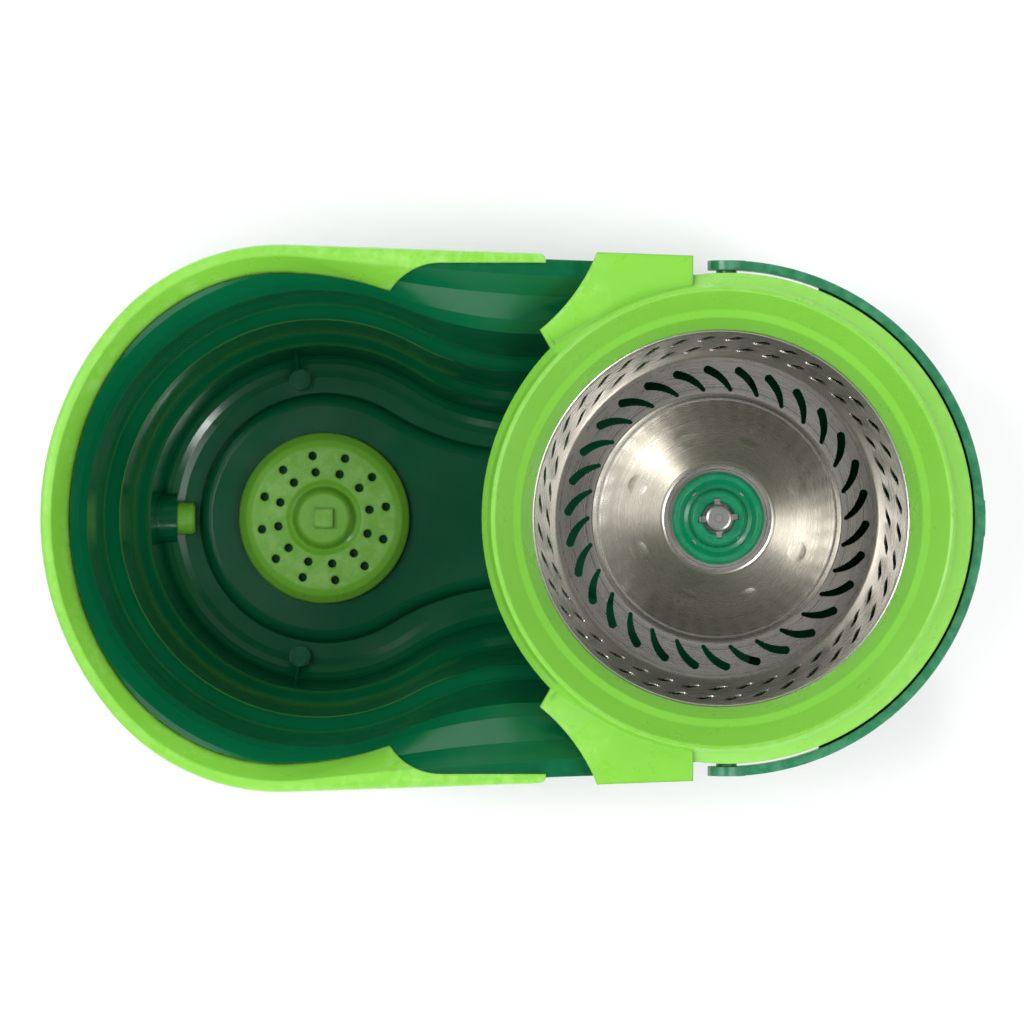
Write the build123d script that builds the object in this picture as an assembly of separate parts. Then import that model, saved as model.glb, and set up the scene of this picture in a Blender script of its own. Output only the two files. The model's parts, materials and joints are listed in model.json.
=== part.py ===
from build123d import *
from math import acos, atan2, cos, degrees, hypot, pi, radians, sin, sqrt, tan
import os

# Bucket of a spin mop, in millimetres: a waisted two-bowl tub with a wash side (-X) and a
# spinner side (+X), +Z up, origin on the floor under the middle of the bucket.

# ---- driving sizes ----
rim_z = 240.0           # top of the tub, above the floor by the feet
rim_wash_r = 134.0      # half width of the rim at the wash bowl
plate_r = 80.0          # round head plate of the mop, which the basket's floor takes
basket_taper = 17.5     # how much wider than the plate the basket is at its rim
bowl_overlap = 47.0     # how far the circles of the two bowls' rims run into each other
wash_x = -99.0          # axis of the wash bowl and of the wash disc
wall = 2.5
floor_t = 3.0
foot_z = 5.0            # underside of the tub
basket_rim_r = plate_r + basket_taper       # outside of the steel basket's rolled rim
rim_end_r = basket_rim_r + 22.0             # rim round the spinner end
end_x = wash_x + rim_wash_r + rim_end_r - bowl_overlap      # centre of the round spinner end
spin_x = end_x - 2.5                        # axis of the basket
nose_x = end_x - rim_end_r                  # where the circle of the spinner's rim crosses the middle

# ---- helpers for cutting ----
past = 1.0              # a cutter runs this far past the face it opens
huge = 1200.0           # longer than the whole bucket

# ---- plan of the tub ----
shoulder_x = nose_x + 56.0          # where the rim flange starts to turn in
shoulder_out = 4.64     # how far it stands there outside the line from one bowl's rim to the other's
shoulder_share = (shoulder_x - wash_x) / (end_x - wash_x)
rim_shoulder_y = rim_wash_r + (rim_end_r - rim_wash_r) * shoulder_share + shoulder_out
fullness_y = 27.0       # the wash end is a little squarer than a circle: its corner arcs'
fullness_x = 17.0       # centres stand off the wash axis by these two distances
nose_shift = fullness_x**2 / (2 * (fullness_y - fullness_x))    # flatter arc at the nose
flange_t = 3.0
flange_out = 1.0        # how far the rim flange stands out from the wall
bowl_base_in = 50.0     # the wash bowl's base is this much narrower than its rim
end_base_in = 35.5      # and the spinner end's base than its own
base_wash_r = rim_wash_r - bowl_base_in
base_end_r = rim_end_r - end_base_in

# the outlet near the floor of the wash bowl, which the lower step of the wall stays above
drain_bore_r = 8.9
drain_pad_r = drain_bore_r + 7.1
drain_z = foot_z + drain_pad_r + 1.5
low_step_z = drain_z + drain_pad_r + 33.5

# each row: height, radius at the wash bowl, hollow radius of the waist, radius at the spinner
# end, and the number of bands in which the wall eases from the row below to this one
tub_rows = [
    (foot_z, base_wash_r, 99.0, base_end_r, 1),
    (foot_z + 9.0, base_wash_r + 4.5, 97.0, base_end_r + 4.0, 2),
    (low_step_z, base_wash_r + 8.0, 98.0, base_end_r + 7.0, 1),
    (low_step_z + 14.0, base_wash_r + 16.0, 103.0, base_end_r + 13.0, 6),
    (rim_z - 96.0, base_wash_r + 20.0, 117.0, base_end_r + 17.0, 1),
    (rim_z - 82.0, base_wash_r + 28.0, 120.0, base_end_r + 24.0, 6),
    (rim_z - 26.0, rim_wash_r - 16.5, 172.0, rim_end_r - 8.0, 1),
    (rim_z - 19.0, rim_wash_r - 13.0, 240.0, rim_end_r - 6.2, 1),
    (rim_z - 10.0, rim_wash_r - 7.0, 620.0, rim_end_r - 3.6, 1),
    (rim_z, rim_wash_r - flange_out, 5000.0, rim_end_r - flange_out, 1),
]
# rise above the channel floor and distance in from the wall, up the hollow at the wall's foot
floor_hollow = [(0.0, 8.5), (0.7, 5.2), (2.1, 2.4), (4.2, 0.7)]
plateau_in = 20.0       # the raised middle of the floor, from the tub's base
plateau_waist = 130.0
plateau_rise = 8.0
plateau_draft = 2.5
plateau_side_t = floor_t + 0.5
# drop below the raised floor's top and distance in from its outline, round its edge
plateau_edge = [(2.6, -0.4), (1.1, 1.0), (0.3, 2.6), (0.0, 4.6)]
plateau = (base_wash_r - plateau_in, plateau_waist, base_end_r - plateau_in)
floor_z = foot_z + floor_t                  # channel floor
plateau_z = floor_z + plateau_rise

# ---- spinner ----
basket_floor_r = plate_r + 2.4
basket_crease_r = plate_r - 18.3
basket_rim_z = rim_z - 21.0
basket_deep = 79.0
basket_floor_z = basket_rim_z - basket_deep
cone_rise = 18.0
basket_seat_z = basket_floor_z + cone_rise  # top of the flat seat under the hub
basket_t = 0.8
basket_bead_r = 1.5
slot_count = 30
slot_head_r = 2.2        # round outer end of a floor slot
slot_tail_r = 1.1        # and its narrow inner end
slot_sweep = 9.5         # how far round it bends, in degrees
slot_bow = 1.4
wall_slot_count = 40
wall_slot_rows = (24.0, 54.0)   # heights of the wall slots' middles above the basket's floor
wall_slot_length = 16.0
wall_slot_width = 4.4
wall_slot_lean = 30.0
crimp_h = 3.0           # the wall bends up over this height above the floor
crimp_out = 1.2         # and out by this much
dimple_count = 8
dimple_ring = 44.0
dimple_r = 5.5
dimple_h = 0.5
stud_r = 6.7            # drive stud that the mop's head drops over
hub_hole_r = stud_r + 1.3
hub_boss_r = hub_hole_r + 6.0
hub_r = hub_boss_r + 9.6
hub_seat_r = hub_r + 3.9
hub_flange_t = 5.0
hub_boss_t = 10.5
hub_floor_t = 3.5       # hub under the keys of the spindle
stud_rise = 20.0        # its top above the basket's seat
key_r = stud_r + 3.3
key_width = 3.0
key_h = 6.0
key_gap = 0.05
key_turns = (4.0, 94.0)  # the keys stand a little off the long axis
clamp_t = 6.0
shaft_r = 4.0
bearing_r = 11.0
bearing_w = 7.0
ring_t = 0.315 * (bearing_r - shaft_r)      # wall of a bearing ring
ball_r = 0.2836 * (bearing_r - shaft_r)
ball_count = 7
ball_gap = 0.045
ball_pitch_r = (shaft_r + bearing_r) / 2
shoulder_h = 3.0
shoulder_r = shaft_r + 1.8
column_gap = 1.0        # the column stands above its upper bearing by this much
bearing_upper_z = basket_seat_z - 20.0
bearing_span = 33.0     # from one bearing's underside to the other's
bearing_lower_z = bearing_upper_z - bearing_span
column_wall = 3.0
column_top_r = bearing_r + 4.0
column_foot_r = 30.0
column_base_r = column_foot_r + 12.0
column_flange_t = 4.0
column_foot_h = 9.0
clip_t = 1.2
groove_depth = 0.8

# ---- wash disc ----
disc_r = 45.0
disc_lift = 5.0         # underside of its skirt above the raised floor
disc_h = 6.5
disc_z = plateau_z + disc_lift
disc_top_z = disc_z + disc_h
disc_t = 2.5
disc_boss_r = 14.5
disc_boss_z = disc_top_z + 5.5
disc_hole_r = 2.2
disc_hole_rings = (disc_r - 20.6, disc_r - 11.8)
disc_hole_count = 12
disc_hole_turn = 10.3
peg_width = 10.0
peg_height = 5.0
disc_axle_r = 4.0
axle_boss_r = 9.0
axle_gap = 0.05         # running fit of the disc on its axle
axle_depth = 6.0        # how far the axle goes into the raised floor
washer_t = 1.1
seat_gap = 0.1          # air between a moving part and the flat face it stops against

# ---- lime rim cap ----
cap_overhang = 3.0      # beyond the tub's rim
cap_gap = 0.3           # air between the cap and the tub
cap_height = 6.0        # above the tub's rim
cap_crown = 2.6         # how much its top edge is rounded
cap_skirt = 10.0        # below it
cap_lip_z = rim_z - 18.0            # lower edge of the funnel
cap_funnel_r = rim_wash_r - 14.5
cap_mouth_r = rim_wash_r - 2.2
cap_end_x = nose_x + 29.0
cap_corner_r = 4.0
cap_strip_y = rim_shoulder_y - 0.9  # inner edge of the narrow strip past the wide part
cap_waist_r = 205.0     # hollow radius of its lip beside the waist
cap_mouth_waist_r = 3000.0
cap_cut_x = wash_x + 37.0           # where its edge leaves the funnel
cap_cut_y = cap_funnel_r - 6.5
cap_bow_x = cap_cut_x + 11.0
cap_bow_y = cap_strip_y - 4.2
cap_strip_x = wash_x + 64.0         # where it has become the narrow strip

# ---- lime spinner collar ----
collar_gap = 0.3
collar_skirt_t = 2.9
collar_skirt_z = rim_z - 5.0
collar_t = 2.4
collar_lip_r = basket_rim_r - 2.9
collar_lip_z = basket_rim_z + 3.0
collar_band_r = basket_rim_r + 3.0
collar_band_z = rim_z - 4.0
ridge_r = rim_end_r - 4.9
ridge_z = rim_z + 16.0
ridge_foot_r = ridge_r + 2.7
ridge_foot_z = ridge_z - 7.0
flange_edge_z = rim_z + 3.0
splash_wall_z = rim_z - 35.0
splash_half_angle = 46.0
splash_t = 2.5
splash_top_z = flange_edge_z - 1.0
ear_top_z = rim_z + 10.0
ear_skirt_z = rim_z - 10.0
ear_wall = 2.2
ear_overhang = 4.2
ear_skew = 1.8          # how much its outer edge draws in towards the spinner
ear_end_x = end_x - 17.1
ear_start_x = nose_x + 54.4
ear_corner = (nose_x + 25.9, rim_end_r - 25.3)
ear_mid = (nose_x + 42.7, rim_end_r - 7.9)
ear_foot = (nose_x + 34.0, rim_end_r - 39.5)
ear_inner_y = ridge_foot_r - 17.0   # its inner side, under the ridge
ear_step = 10.0         # short inner edge at its foot
ear_drop = 9.0          # how far the facet by the wash bowl falls
ear_facet_run = 34.0
ear_facet_turn = 52.0

# ---- handle ----
handle_gap = 1.6        # between the collar's skirt and the handle
handle_t = 4.8
handle_h = 13.0
handle_z = rim_z - 11.0
handle_pin_r = 4.0
handle_eye_r = handle_pin_r + 5.5
handle_pin_gap = 0.05
handle_hub_r = handle_pin_r + 1.2   # shoulder on the pin between the handle and the tub
handle_hub_gap = 0.3
handle_seat_y = rim_end_r - 0.1     # outer face of the tub's pivot bosses
handle_boss_r = handle_pin_r + 4.5
handle_boss_in = 8.0
handle_pin_short = 0.5  # the pin stops this far before the inner end of its boss
handle_nub = 0.5
handle_nub_w = 18.0
rest_lip_t = 3.5
rest_gap = 0.3
rest_half_angle = 68.0

# ---- drain ----
drain_plug_gap = 0.3
drain_boss_r = drain_bore_r + 4.1
drain_boss_x = wash_x - base_wash_r + 7.0       # its inner end
drain_pad_x = wash_x - base_wash_r - 9.0        # its outer face
drain_pad_t = 11.0
gasket_t = 2.0
plug_out = 9.0          # the plug's inner end stands this far out of the boss
plug_end_x = drain_boss_x + plug_out
plug_chamfer = 1.5
plug_wall = 2.0
plug_end_t = 3.0
plug_knob_r = drain_bore_r + 5.1
plug_knob_t = 9.0
plug_grips = 12
plug_grip_r = 1.6
plug_grip_short = 2.5   # the grip grooves end this far before the knob's inner face

# ---- feet and screws ----
foot_r = 8.0
foot_edge = 2.0         # between a foot and the edge of the base
foot_chamfer = 1.0
foot_turn = 80.0        # direction of each foot from its bowl's axis, from the long way
foot_boss_r = 5.5
foot_boss_h = 10.0
gusset_t = 1.6          # web from each foot's boss to the wall
gusset_run = foot_r + foot_edge     # from the boss's middle to the foot of the wall
foot_screw_r = 1.6
foot_screw_len = 9.0    # under its head
foot_seat_t = 1.2       # rubber between the screw's head and the tub
foot_screw_z = foot_z - foot_seat_t
screw_head_r = 3.4
screw_head_t = 2.0
column_screw_ring = (column_foot_r + column_base_r) / 2
column_screw_r = 2.0
column_head_r = 4.2
column_head_t = 2.4
column_screw_len = 12.0
column_boss_wall = 2.5
hub_screw_ring = hub_r - 5.6
hub_screw_r = 1.5
screw_gap = 0.2         # round a screw where it passes through

collar_skirt_r = rim_end_r + collar_gap + collar_skirt_t
handle_in_r = collar_skirt_r + handle_gap
handle_out_r = handle_in_r + handle_t


def waist_centre(left, left_r, right, right_r, waist_r):
    """Centre of the hollow arc that touches two circles on their +Y side."""
    (lx, ly), (rx, ry) = left, right
    span = hypot(rx - lx, ry - ly)
    a, b = left_r + waist_r, right_r + waist_r
    along = (span**2 + a**2 - b**2) / (2 * span)
    up = sqrt(a * a - along * along)
    ux, uy = (rx - lx) / span, (ry - ly) / span
    return Vector(lx + along * ux - up * uy, ly + along * uy + up * ux, 0)


def plan(z, wash_r, waist_r, end_r, full=True, inset=0.0):
    """Waisted outline of two bowls at height z: an end arc and two corner arcs at the wash side,
    a hollow waist arc each side and one arc round the spinner end."""
    wash_r, waist_r, end_r = wash_r - inset, waist_r + inset, end_r - inset
    ky, kx = (fullness_y, fullness_x) if full else (0.0, 0.0)
    corner = Vector(wash_x - kx, ky, z)
    corner_r = wash_r - ky
    shift = nose_shift if full else 0.0
    end_c = Vector(wash_x + shift, 0, z)
    big_r = wash_r + shift
    end = Vector(end_x, 0, z)
    mid = waist_centre((corner.X, corner.Y), corner_r, (end_x, 0), end_r, waist_r)
    mid = Vector(mid.X, mid.Y, z)

    def toward(c, r, to):
        return c + (to - c).normalized() * r

    split = atan2(ky, corner.X - end_c.X) if full else radians(140)
    p_split = end_c + Vector(big_r * cos(split), big_r * sin(split), 0)
    p_wash = toward(corner, corner_r, mid)
    p_end = toward(end, end_r, mid)
    half = (split + atan2(p_wash.Y - corner.Y, p_wash.X - corner.X)) / 2
    p_corner = corner + Vector(corner_r * cos(half), corner_r * sin(half), 0)
    p_waist = toward(mid, waist_r, (p_wash + p_end) / 2)

    def low(p):
        return Vector(p.X, -p.Y, p.Z)

    edges = [
        ThreePointArc(low(p_split), end_c - Vector(big_r, 0, 0), p_split),
        ThreePointArc(p_split, p_corner, p_wash),
        ThreePointArc(p_wash, p_waist, p_end),
        ThreePointArc(p_end, Vector(end_x + end_r, 0, z), low(p_end)),
        ThreePointArc(low(p_end), low(p_waist), low(p_wash)),
        ThreePointArc(low(p_wash), low(p_corner), low(p_split)),
    ]
    return Face(Wire(edges))


def ease(t):
    """Smooth rise from 0 to 1, level at both ends."""
    return t * t * (3 - 2 * t)


def wall_sections(rows):
    """Height and three sizes of every band of the wall: the rows, and the eased steps between."""
    sections = [rows[0][:4]]
    for low, high in zip(rows, rows[1:]):
        bands = high[4]
        for i in range(1, bands + 1):
            t = i / bands
            sizes = [a + (b - a) * ease(t) if bands > 1 else b for a, b in zip(low[1:4], high[1:4])]
            sections.append((low[0] + (high[0] - low[0]) * t, *sizes))
    return sections


def stack(sections, inset=0.0):
    """Banded solid through the outlines, one above the other."""
    top = sections[-1][0]
    return ruled(*[plan(z, *sizes, full=z == top, inset=inset) for z, *sizes in sections])


def rim_corner(grow):
    """Centre and radius of the rim's corner arc, and the direction in which the straight run to
    the shoulder touches it."""
    centre = Vector(wash_x - fullness_x, fullness_y, 0)
    r = rim_wash_r + grow - fullness_y
    run = Vector(shoulder_x, rim_shoulder_y + grow, 0) - centre
    return centre, r, atan2(run.Y, run.X) + acos(r / run.length)


def rim_outline(z, grow=0.0):
    """Outer edge of the tub's rim: the full wash end, a straight run to each shoulder, then in
    to the round spinner end."""
    wash_r = rim_wash_r + grow
    corner, corner_r, side = rim_corner(grow)
    corner = corner + Vector(0, 0, z)
    nose = Vector(wash_x + nose_shift, 0, z)
    nose_r = wash_r + nose_shift
    split = atan2(corner.Y, corner.X - nose.X)
    mid = (split + side) / 2
    end_r = rim_end_r + grow

    def around(centre, r, turn):
        return centre + Vector(r * cos(turn), r * sin(turn), 0)

    def low(p):
        return Vector(p.X, -p.Y, p.Z)

    p_split = around(nose, nose_r, split)
    p_side = around(corner, corner_r, side)
    p_mid = around(corner, corner_r, mid)
    p_shoulder = Vector(shoulder_x, rim_shoulder_y + grow, z)
    p_end = Vector(end_x, end_r, z)
    edges = [
        ThreePointArc(low(p_split), Vector(wash_x - wash_r, 0, z), p_split),
        ThreePointArc(p_split, p_mid, p_side),
        Line(p_side, p_shoulder),
        Line(p_shoulder, p_end),
        ThreePointArc(p_end, Vector(end_x + end_r, 0, z), low(p_end)),
        Line(low(p_end), low(p_shoulder)),
        Line(low(p_shoulder), low(p_side)),
        ThreePointArc(low(p_side), low(p_mid), low(p_split)),
    ]
    return Face(Wire(edges))


def tube_z(r, z0, z1, x=0.0, y=0.0):
    """Upright cylinder from z0 to z1."""
    return Pos(x, y, (z0 + z1) / 2) * Cylinder(r, z1 - z0)


def tube_x(r, x0, x1, y=0.0, z=0.0):
    return Pos((x0 + x1) / 2, y, z) * Rot(0, 90, 0) * Cylinder(r, x1 - x0)


def tube_y(r, y0, y1, x=0.0, z=0.0):
    return Pos(x, (y0 + y1) / 2, z) * Rot(90, 0, 0) * Cylinder(r, abs(y1 - y0))


def ring_z(r_out, r_in, z0, z1, x=0.0, y=0.0):
    return tube_z(r_out, z0, z1, x, y) - tube_z(r_in, z0 - past, z1 + past, x, y)


def behind(x):
    """Everything on the wash side of the upright plane at x."""
    return Pos(x - huge / 2, 0, 0) * Box(huge, huge, huge)


def beyond(x):
    """Everything on the spinner side of the upright plane at x."""
    return Pos(x + huge / 2, 0, 0) * Box(huge, huge, huge)


def ruled(*faces):
    """Solid with straight sides from each outline to the next."""
    return Solid.make_loft([face.outer_wire() for face in faces], ruled=True)


def spun(points, x=0.0):
    """Solid of revolution about the upright axis at x, from (radius, height) points."""
    wire = Wire(Polyline([Vector(r, 0, z) for r, z in points], close=True).edges())
    return Pos(x, 0, 0) * revolve(Face(wire), axis=Axis.Z)


def foot_places():
    """Centres of the four feet, each just inside the edge of its bowl's base."""
    turn = radians(foot_turn)
    wash_reach = base_wash_r - foot_r - foot_edge
    end_reach = base_end_r - foot_r - foot_edge
    return [
        (x + way * reach * cos(turn), side * reach * sin(turn))
        for x, way, reach in ((wash_x, -1, wash_reach), (end_x, 1, end_reach))
        for side in (1, -1)
    ]


def ring_places(count, r, turn=0.0, x=0.0):
    return [
        (x + r * cos(radians(turn + 360 * i / count)), r * sin(radians(turn + 360 * i / count)))
        for i in range(count)
    ]


def sizes_at(sections, z):
    """The wall's three sizes at any height."""
    for low, high in zip(sections, sections[1:]):
        if low[0] <= z <= high[0]:
            t = (z - low[0]) / (high[0] - low[0])
            return [a + (b - a) * t for a, b in zip(low[1:], high[1:])]


def tub_cavity(inset=wall):
    """Space inside the tub above the channel floor, carried up past the rim."""
    sections = wall_sections(tub_rows)
    foot = []
    for rise, away in floor_hollow:
        wash_r, waist_r, end_r = sizes_at(sections, floor_z + rise)
        foot.append((floor_z + rise, wash_r - away, waist_r + away, end_r - away))
    above = [row for row in sections if row[0] > foot[-1][0] + past]
    space = stack(foot + above, inset=inset)
    top_z, *top = sections[-1]
    return space + extrude(plan(top_z, *top, inset=inset), 2 * past, dir=(0, 0, 1))


def handle_rest():
    """Ledge round the spinner end that the lowered handle lies on, joined to the tub's wall."""
    top_z = handle_z - handle_h / 2 - rest_gap
    ledge = tube_z(handle_out_r - handle_t / 2, top_z - rest_lip_t, top_z, x=end_x)
    reach = 2 * handle_out_r
    for side in (1, -1):
        outside = Rot(0, 0, side * rest_half_angle) * Pos(0, side * reach, 0) * Box(huge, 2 * reach, huge)
        ledge -= Pos(end_x, 0, 0) * outside
    return ledge


def raised_floor():
    """The raised middle of the floor and the hollow under it."""
    edge = [plan(plateau_z - drop, *plateau, full=False, inset=away) for drop, away in plateau_edge]
    rise = ruled(plan(floor_z - past, *plateau, full=False, inset=-plateau_draft), *edge)
    hollow = ruled(
        plan(foot_z - past, *plateau, full=False, inset=plateau_side_t - plateau_draft),
        plan(plateau_z - floor_t, *plateau, full=False, inset=plateau_side_t),
    )
    return rise, hollow


def gusset(x, y):
    """Web from a foot's boss out to the wall, lower at the wall."""
    low_z = floor_z - past
    points = [
        (0, low_z),
        (gusset_run - past, low_z),
        (gusset_run + 2 * past, foot_z + 9.0),
        (0, floor_z + foot_boss_h - past),
    ]
    web = extrude(Plane.XZ * Polygon(*points, align=None), gusset_t / 2, both=True)
    centre_x = wash_x if x < 0 else end_x
    return Pos(x, y, 0) * Rot(0, 0, degrees(atan2(y, x - centre_x))) * web


def make_tub():
    shell = stack(wall_sections(tub_rows))
    shell += extrude(rim_outline(rim_z - flange_t), flange_t, dir=(0, 0, 1))
    shell += handle_rest()
    shell += tube_x(drain_pad_r, drain_pad_x, drain_pad_x + drain_pad_t, z=drain_z)
    tub = shell - tub_cavity()
    rise, hollow = raised_floor()
    tub = tub + rise - hollow
    # bosses under the floor for the column's screws, and the socket of the wash disc's axle
    for x, y in ring_places(4, column_screw_ring, 45, spin_x):
        tub += tube_z(column_screw_r + column_boss_wall, foot_z, plateau_z - past, x, y)
        hole_z = plateau_z + column_flange_t - column_screw_len
        tub -= tube_z(column_screw_r, hole_z, plateau_z + past, x, y)
    tub += tube_z(axle_boss_r, foot_z + past, disc_z - washer_t, wash_x)
    tub -= tube_z(disc_axle_r, plateau_z - axle_depth, disc_z, wash_x)
    # blind bosses over the feet
    for x, y in foot_places():
        tub += tube_z(foot_boss_r, foot_z + past, floor_z + foot_boss_h, x, y) + gusset(x, y)
        tub -= tube_z(foot_screw_r, foot_z - past, foot_screw_z + foot_screw_len + past, x, y)
    # drain boss and bore
    tub += tube_x(drain_boss_r, drain_pad_x + past, drain_boss_x, z=drain_z)
    tub -= tube_x(drain_bore_r, drain_pad_x - past, drain_boss_x + past, z=drain_z)
    # bearing bosses of the handle
    for side in (1, -1):
        inner_y = side * (handle_seat_y - handle_boss_in)
        outer_y = side * handle_seat_y
        tub += tube_y(handle_boss_r, inner_y, outer_y, end_x, handle_z)
        bore_r = handle_pin_r + handle_pin_gap
        tub -= tube_y(bore_r, inner_y - side * past, outer_y + side * past, end_x, handle_z)
    return tub


def cap_notch(side):
    """What is cut from the cap past the wash bowl: it bows out from the funnel to a strip."""
    end_cut_x = cap_end_x + 5 * past
    start = Vector(cap_cut_x, side * cap_cut_y, 0)
    bow = Vector(cap_bow_x, side * cap_bow_y, 0)
    strip = Vector(cap_strip_x, side * cap_strip_y, 0)
    edges = [
        ThreePointArc(start, bow, strip),
        Line(strip, (end_cut_x, side * cap_strip_y, 0)),
        Line((end_cut_x, side * cap_strip_y, 0), (end_cut_x, 0, 0)),
        Line((end_cut_x, 0, 0), (cap_cut_x, 0, 0)),
        Line((cap_cut_x, 0, 0), start),
    ]
    return extrude(Face(Wire(edges)), huge, dir=(0, 0, 1))


def cap_corner(side):
    """What rounds the outer corner at each end of the cap, in plan."""
    r = cap_corner_r
    slope = tan(pi / 2 - rim_corner(cap_overhang)[2])
    edge_y = rim_shoulder_y + slope * (shoulder_x - cap_end_x) + cap_overhang
    start = Vector(cap_end_x - r, side * (edge_y + slope * r), 0)
    end = Vector(cap_end_x, side * (edge_y - r), 0)
    bend = Vector(cap_end_x - 0.29 * r, side * (edge_y - 0.29 * r), 0)
    outer = Vector(cap_end_x + past, side * (edge_y + 2 * r), 0)
    edges = [
        ThreePointArc(start, bend, end),
        Line(end, (cap_end_x + past, side * (edge_y - r), 0)),
        Line((cap_end_x + past, side * (edge_y - r), 0), outer),
        Line(outer, (cap_end_x - r, side * (edge_y + 2 * r), 0)),
        Line((cap_end_x - r, side * (edge_y + 2 * r), 0), start),
    ]
    return extrude(Face(Wire(edges)), huge, dir=(0, 0, 1))


def make_rim_cap():
    """Lime cap over the wash bowl's rim: a skirt outside, a rounded crown and a funnel inside."""
    low_z = rim_z - cap_skirt
    seat_z = rim_z + cap_gap
    top_z = rim_z + cap_height
    skirt = extrude(rim_outline(low_z, cap_overhang), seat_z - low_z, dir=(0, 0, 1))
    skirt -= extrude(rim_outline(low_z - past, cap_gap), seat_z - low_z + past, dir=(0, 0, 1))
    crown = ruled(
        rim_outline(seat_z, cap_overhang),
        rim_outline(top_z - cap_crown, cap_overhang - 0.2),
        rim_outline(top_z - cap_crown / 3, cap_overhang - cap_crown / 3),
        rim_outline(top_z, cap_overhang - cap_crown),
    )
    slab = Pos(0, 0, (cap_lip_z + seat_z) / 2) * Box(huge, huge, seat_z - cap_lip_z)
    lip = tub_cavity(wall + cap_gap) & slab
    funnel = ruled(
        plan(cap_lip_z - past, cap_funnel_r, cap_waist_r, cap_funnel_r - 3.0, full=False),
        plan(top_z + past, cap_mouth_r, cap_mouth_waist_r, rim_end_r - 3.0),
    )
    cut = beyond(cap_end_x)
    cap = (skirt - cut) + (crown - cut) + (lip - cut) - funnel
    for side in (1, -1):
        cap -= cap_notch(side)
        cap -= cap_corner(side)
    return cap


def collar_ring():
    """Upper ring of the collar: from the lip over the basket's rim up to the ridge."""
    t = collar_t
    top = [
        (collar_lip_r, collar_lip_z),
        (collar_lip_r + 0.6, collar_lip_z + 1.5),
        (collar_band_r, collar_band_z),
        (collar_band_r + 4.0, collar_band_z + 4.0),
        (ridge_r - 4.5, ridge_z - 6.5),
        (ridge_r - 1.2, ridge_z - 0.6),
        (ridge_r, ridge_z),
        (ridge_r + 1.0, ridge_z - 0.8),
        (ridge_foot_r, ridge_foot_z),
    ]
    under = [
        (ridge_foot_r - 0.2, ridge_foot_z - t),
        (ridge_r - 0.8, ridge_z - 1.5 - t),
        (ridge_r - 3.0, ridge_z - 6.5 - t),
        (collar_band_r + 4.0 + t / 2, collar_band_z + 4.0 - t),
        (collar_band_r + 0.75 * t, collar_band_z - 1.0),
        (collar_lip_r + t, collar_lip_z),
    ]
    return spun(top + under, spin_x)


def make_collar():
    """Lime collar over the spinner end: ring, outer flange and skirt, splash wall and two ears."""
    t = collar_t
    r_out = collar_skirt_r
    r_in = collar_skirt_r - collar_skirt_t
    ring_in = ridge_foot_r - 1.0
    flange = ruled(
        Pos(end_x, 0, flange_edge_z) * Face(Wire.make_circle(r_out)),
        Pos(spin_x, 0, ridge_foot_z) * Face(Wire.make_circle(ridge_foot_r)),
    )
    flange += tube_z(r_out, collar_skirt_z, flange_edge_z, end_x)
    inner = ruled(
        Pos(end_x, 0, flange_edge_z - t) * Face(Wire.make_circle(r_in)),
        Pos(spin_x, 0, ridge_foot_z - t) * Face(Wire.make_circle(ring_in)),
    )
    inner += tube_z(r_in, collar_skirt_z - past, flange_edge_z - t, end_x)
    inner += tube_z(ring_in, ridge_foot_z - t, ridge_z, spin_x)
    # splash wall between the wash bowl and the basket
    splash_r = r_in + splash_t / 2
    splash = ring_z(splash_r, splash_r - splash_t, splash_wall_z, splash_top_z, end_x)
    reach_y = splash_r * sin(radians(splash_half_angle))
    splash &= Pos(end_x - huge / 2, 0, 0) * Box(huge, 2 * reach_y, huge)
    collar = collar_ring() + (flange - inner) + splash
    for side in (1, -1):
        collar += make_ear(side)
    return collar - rim_zone()


def rim_zone():
    """The tub's rim with a little air round it, which the collar stays out of."""
    low_z = ear_skirt_z - 2 * past
    rim = extrude(rim_outline(low_z, collar_gap), rim_z + collar_gap - low_z, dir=(0, 0, 1))
    return rim - tub_cavity(wall + collar_gap)


def ear_plan(side, z, inset=0.0):
    """Outline of one ear: curved towards the wash bowl, straight along the rim."""
    rim_y = rim_shoulder_y + ear_overhang - inset
    end_x_in = ear_end_x - inset

    def at(x, y):
        return Vector(x, side * y, z)

    corner = at(ear_corner[0] + inset, ear_corner[1] + 0.4 * inset)
    mid = at(ear_mid[0] + inset, ear_mid[1] - 0.4 * inset)
    start = at(ear_start_x + 0.6 * inset, rim_y)
    end = at(end_x_in, rim_y - ear_skew)
    inner = at(end_x_in, ear_inner_y)
    step = at(ear_foot[0] + ear_step, ear_foot[1] + inset)
    foot = at(ear_foot[0] + inset, ear_foot[1] + inset)
    edges = [
        ThreePointArc(corner, mid, start),
        Line(start, end),
        Line(end, inner),
        Line(inner, step),
        Line(step, foot),
        Line(foot, corner),
    ]
    return Face(Wire(edges))


def make_ear(side):
    """One ear of the collar: a shell that sits over the tub's rim beside the spinner."""
    tall = ear_top_z - ear_skirt_z
    outer = extrude(ear_plan(side, ear_skirt_z), tall, dir=(0, 0, 1))
    hollow_h = tall + past - collar_t - 0.4 * ear_drop
    inner = extrude(ear_plan(side, ear_skirt_z - past, ear_wall), hollow_h, dir=(0, 0, 1))
    # the facet by the wash bowl falls towards its corner
    slope = degrees(atan2(ear_drop, ear_facet_run))
    top = Pos(ear_corner[0] + ear_facet_run, side * ear_corner[1], ear_top_z)
    above = Pos(-huge / 2, 0, huge / 2) * Box(huge, huge, huge)
    facet = top * Rot(0, 0, side * ear_facet_turn) * Rot(0, -slope, 0) * above
    ear = outer - inner - facet
    return ear - tube_z(ridge_foot_r - 0.5, ear_skirt_z - past, ridge_z, spin_x)


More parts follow.
